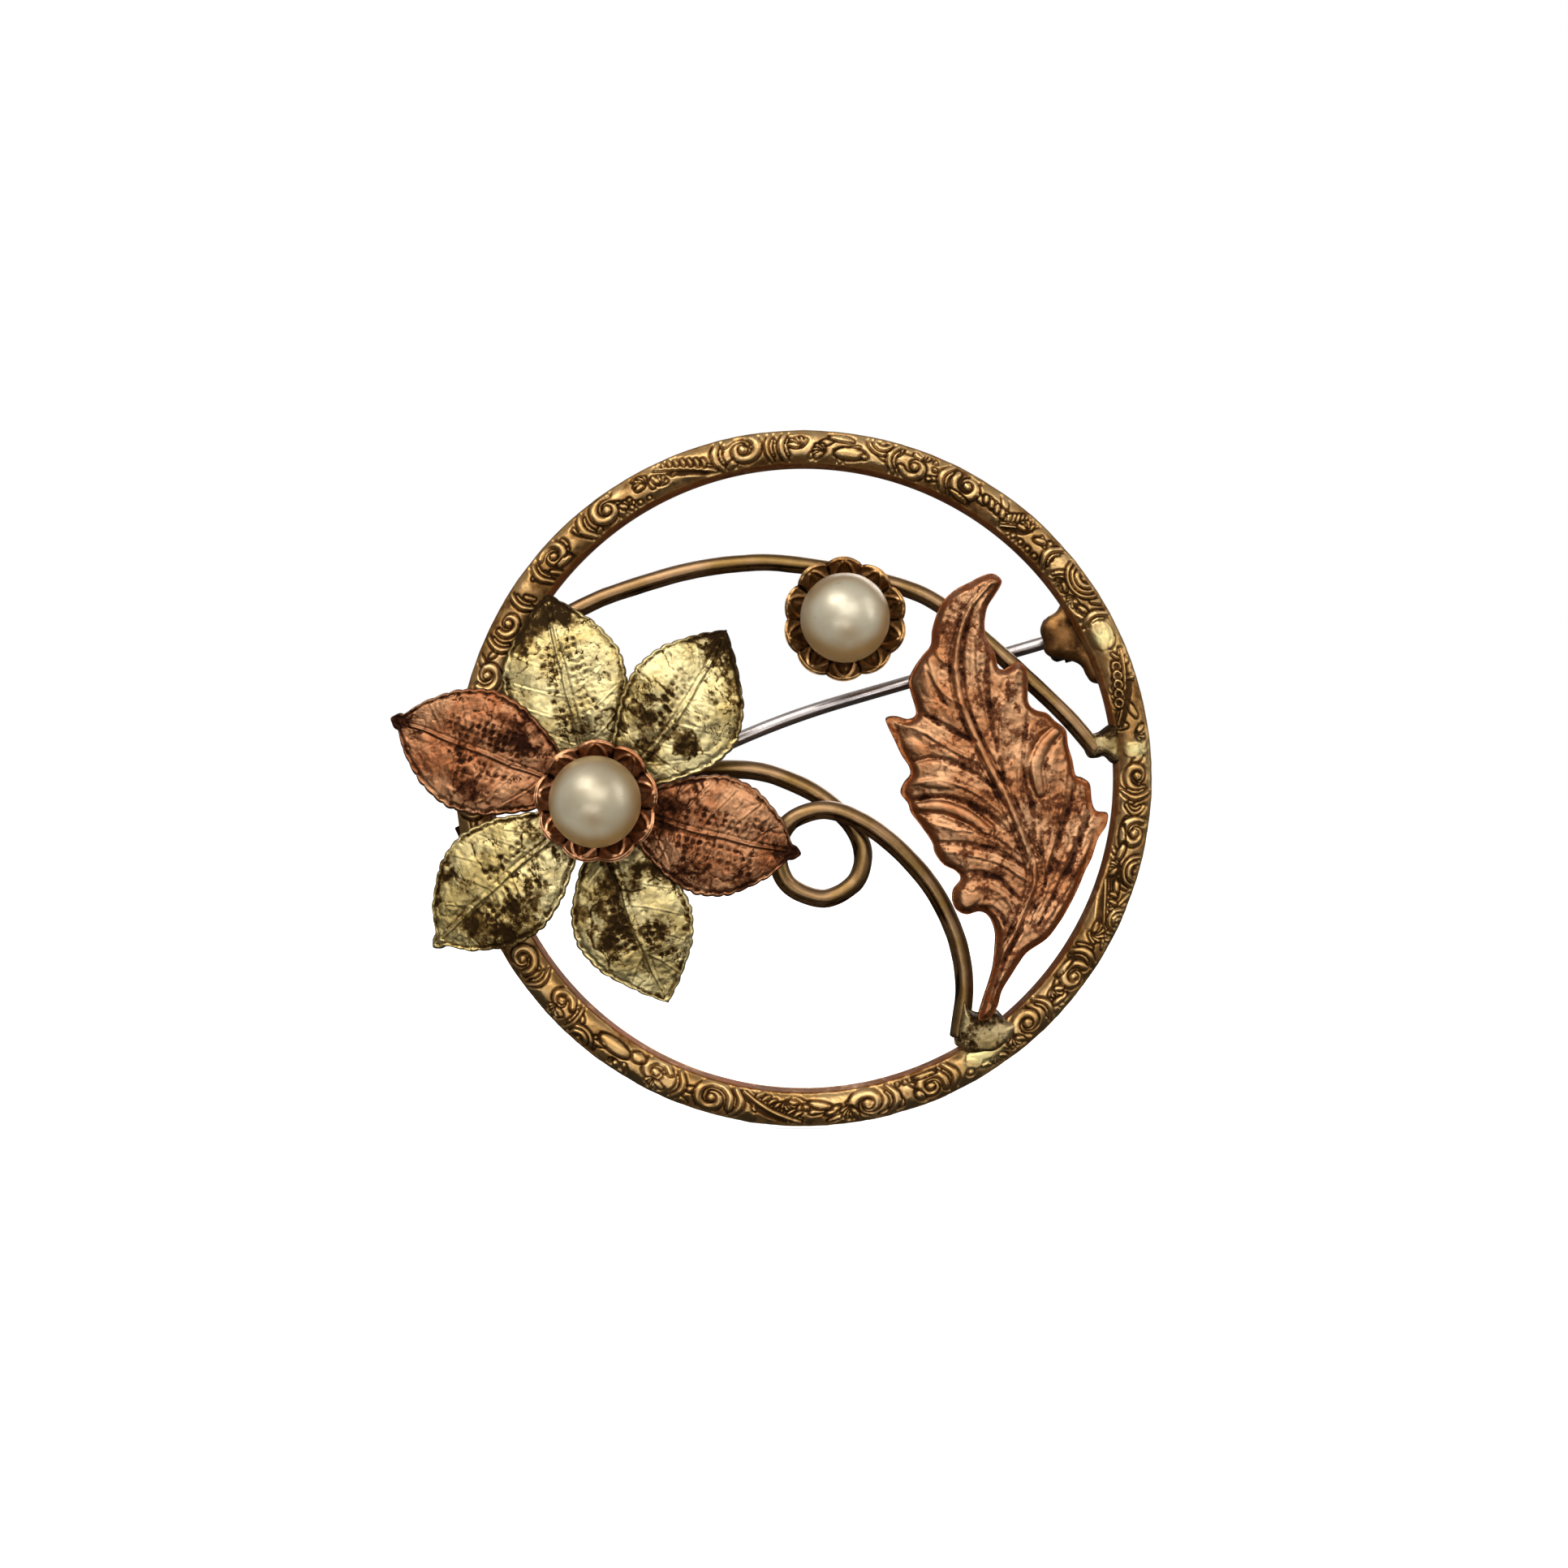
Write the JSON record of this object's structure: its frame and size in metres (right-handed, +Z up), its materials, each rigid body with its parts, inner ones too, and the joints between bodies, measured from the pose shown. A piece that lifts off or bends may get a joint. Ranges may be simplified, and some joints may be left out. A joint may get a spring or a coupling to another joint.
{
  "type": "brooch",
  "caption": "Round chased brooch with a leaf-petal flower, a bud and a spray leaf on curled stems, pearl centres, and a hinged pin with a turning safety catch.",
  "frame": {"origin": "middle of the hoop, on its flat back face, where the cloth lies", "axes": "+X to the wearer's left as seen from the front (right in a front view), +Y out of the back into the cloth, +Z up as worn"},
  "size_m": [0.0464, 0.0125, 0.0426],
  "materials": {
    "gold_fill": "worn, chased, dark in the hollows",
    "stem_gold": "polished, lightly tarnished",
    "green_gold": "stamped, worn bright with brown patina",
    "rose_gold": "stamped, worn bright with brown patina",
    "solder": "grainy, dull",
    "fittings": "brown, tarnished",
    "pin_steel": "drawn wire, dulled",
    "pearl": "cream pearl lacquer"
  },
  "bodies": {
    "frame": {"ring_frame": "gold_fill", "upper_stem_wire": "stem_gold", "lower_stem_wire": "stem_gold", "acanthus_leaf": "rose_gold", "flower_back_disc": "gold_fill", "flower_pearl_cup": "rose_gold", "flower_pearl": "pearl", "flower_pearl_peg": "fittings", "bud_pearl_cup": "gold_fill", "bud_pearl": "pearl", "bud_pearl_peg": "fittings", "solder_lower_junction": "solder", "solder_stem_end": "solder", "solder_flower_left": "solder", "solder_flower_lower": "solder", "hinge_base": "fittings", "hinge_rivet": "fittings", "catch_base": "fittings", "catch_housing": "fittings", "petal_top": "green_gold", "petal_upper_right": "green_gold", "petal_lower_right": "green_gold", "petal_lower_left": "green_gold", "petal_right": "rose_gold", "petal_left": "rose_gold"},
    "pin": {"pin_knuckle": "pin_steel", "pin_stem": "pin_steel"},
    "catch_roller": {"catch_barrel": "fittings", "catch_lever": "fittings"}
  },
  "joints": [
    {"name": "pin_hinge", "type": "hinge", "parent": "frame", "child": "pin", "pos_m": [-0.01978, 0.0019, -0.00478], "axis": [-0.4179, 0, 0.9085], "range_deg": [0, 95]},
    {"name": "catch_turn", "type": "hinge", "parent": "frame", "child": "catch_roller", "pos_m": [0.01645, 0.0019, 0.00888], "axis": [0.9603, 0, 0.279], "range_deg": [0, 86]}
  ]
}
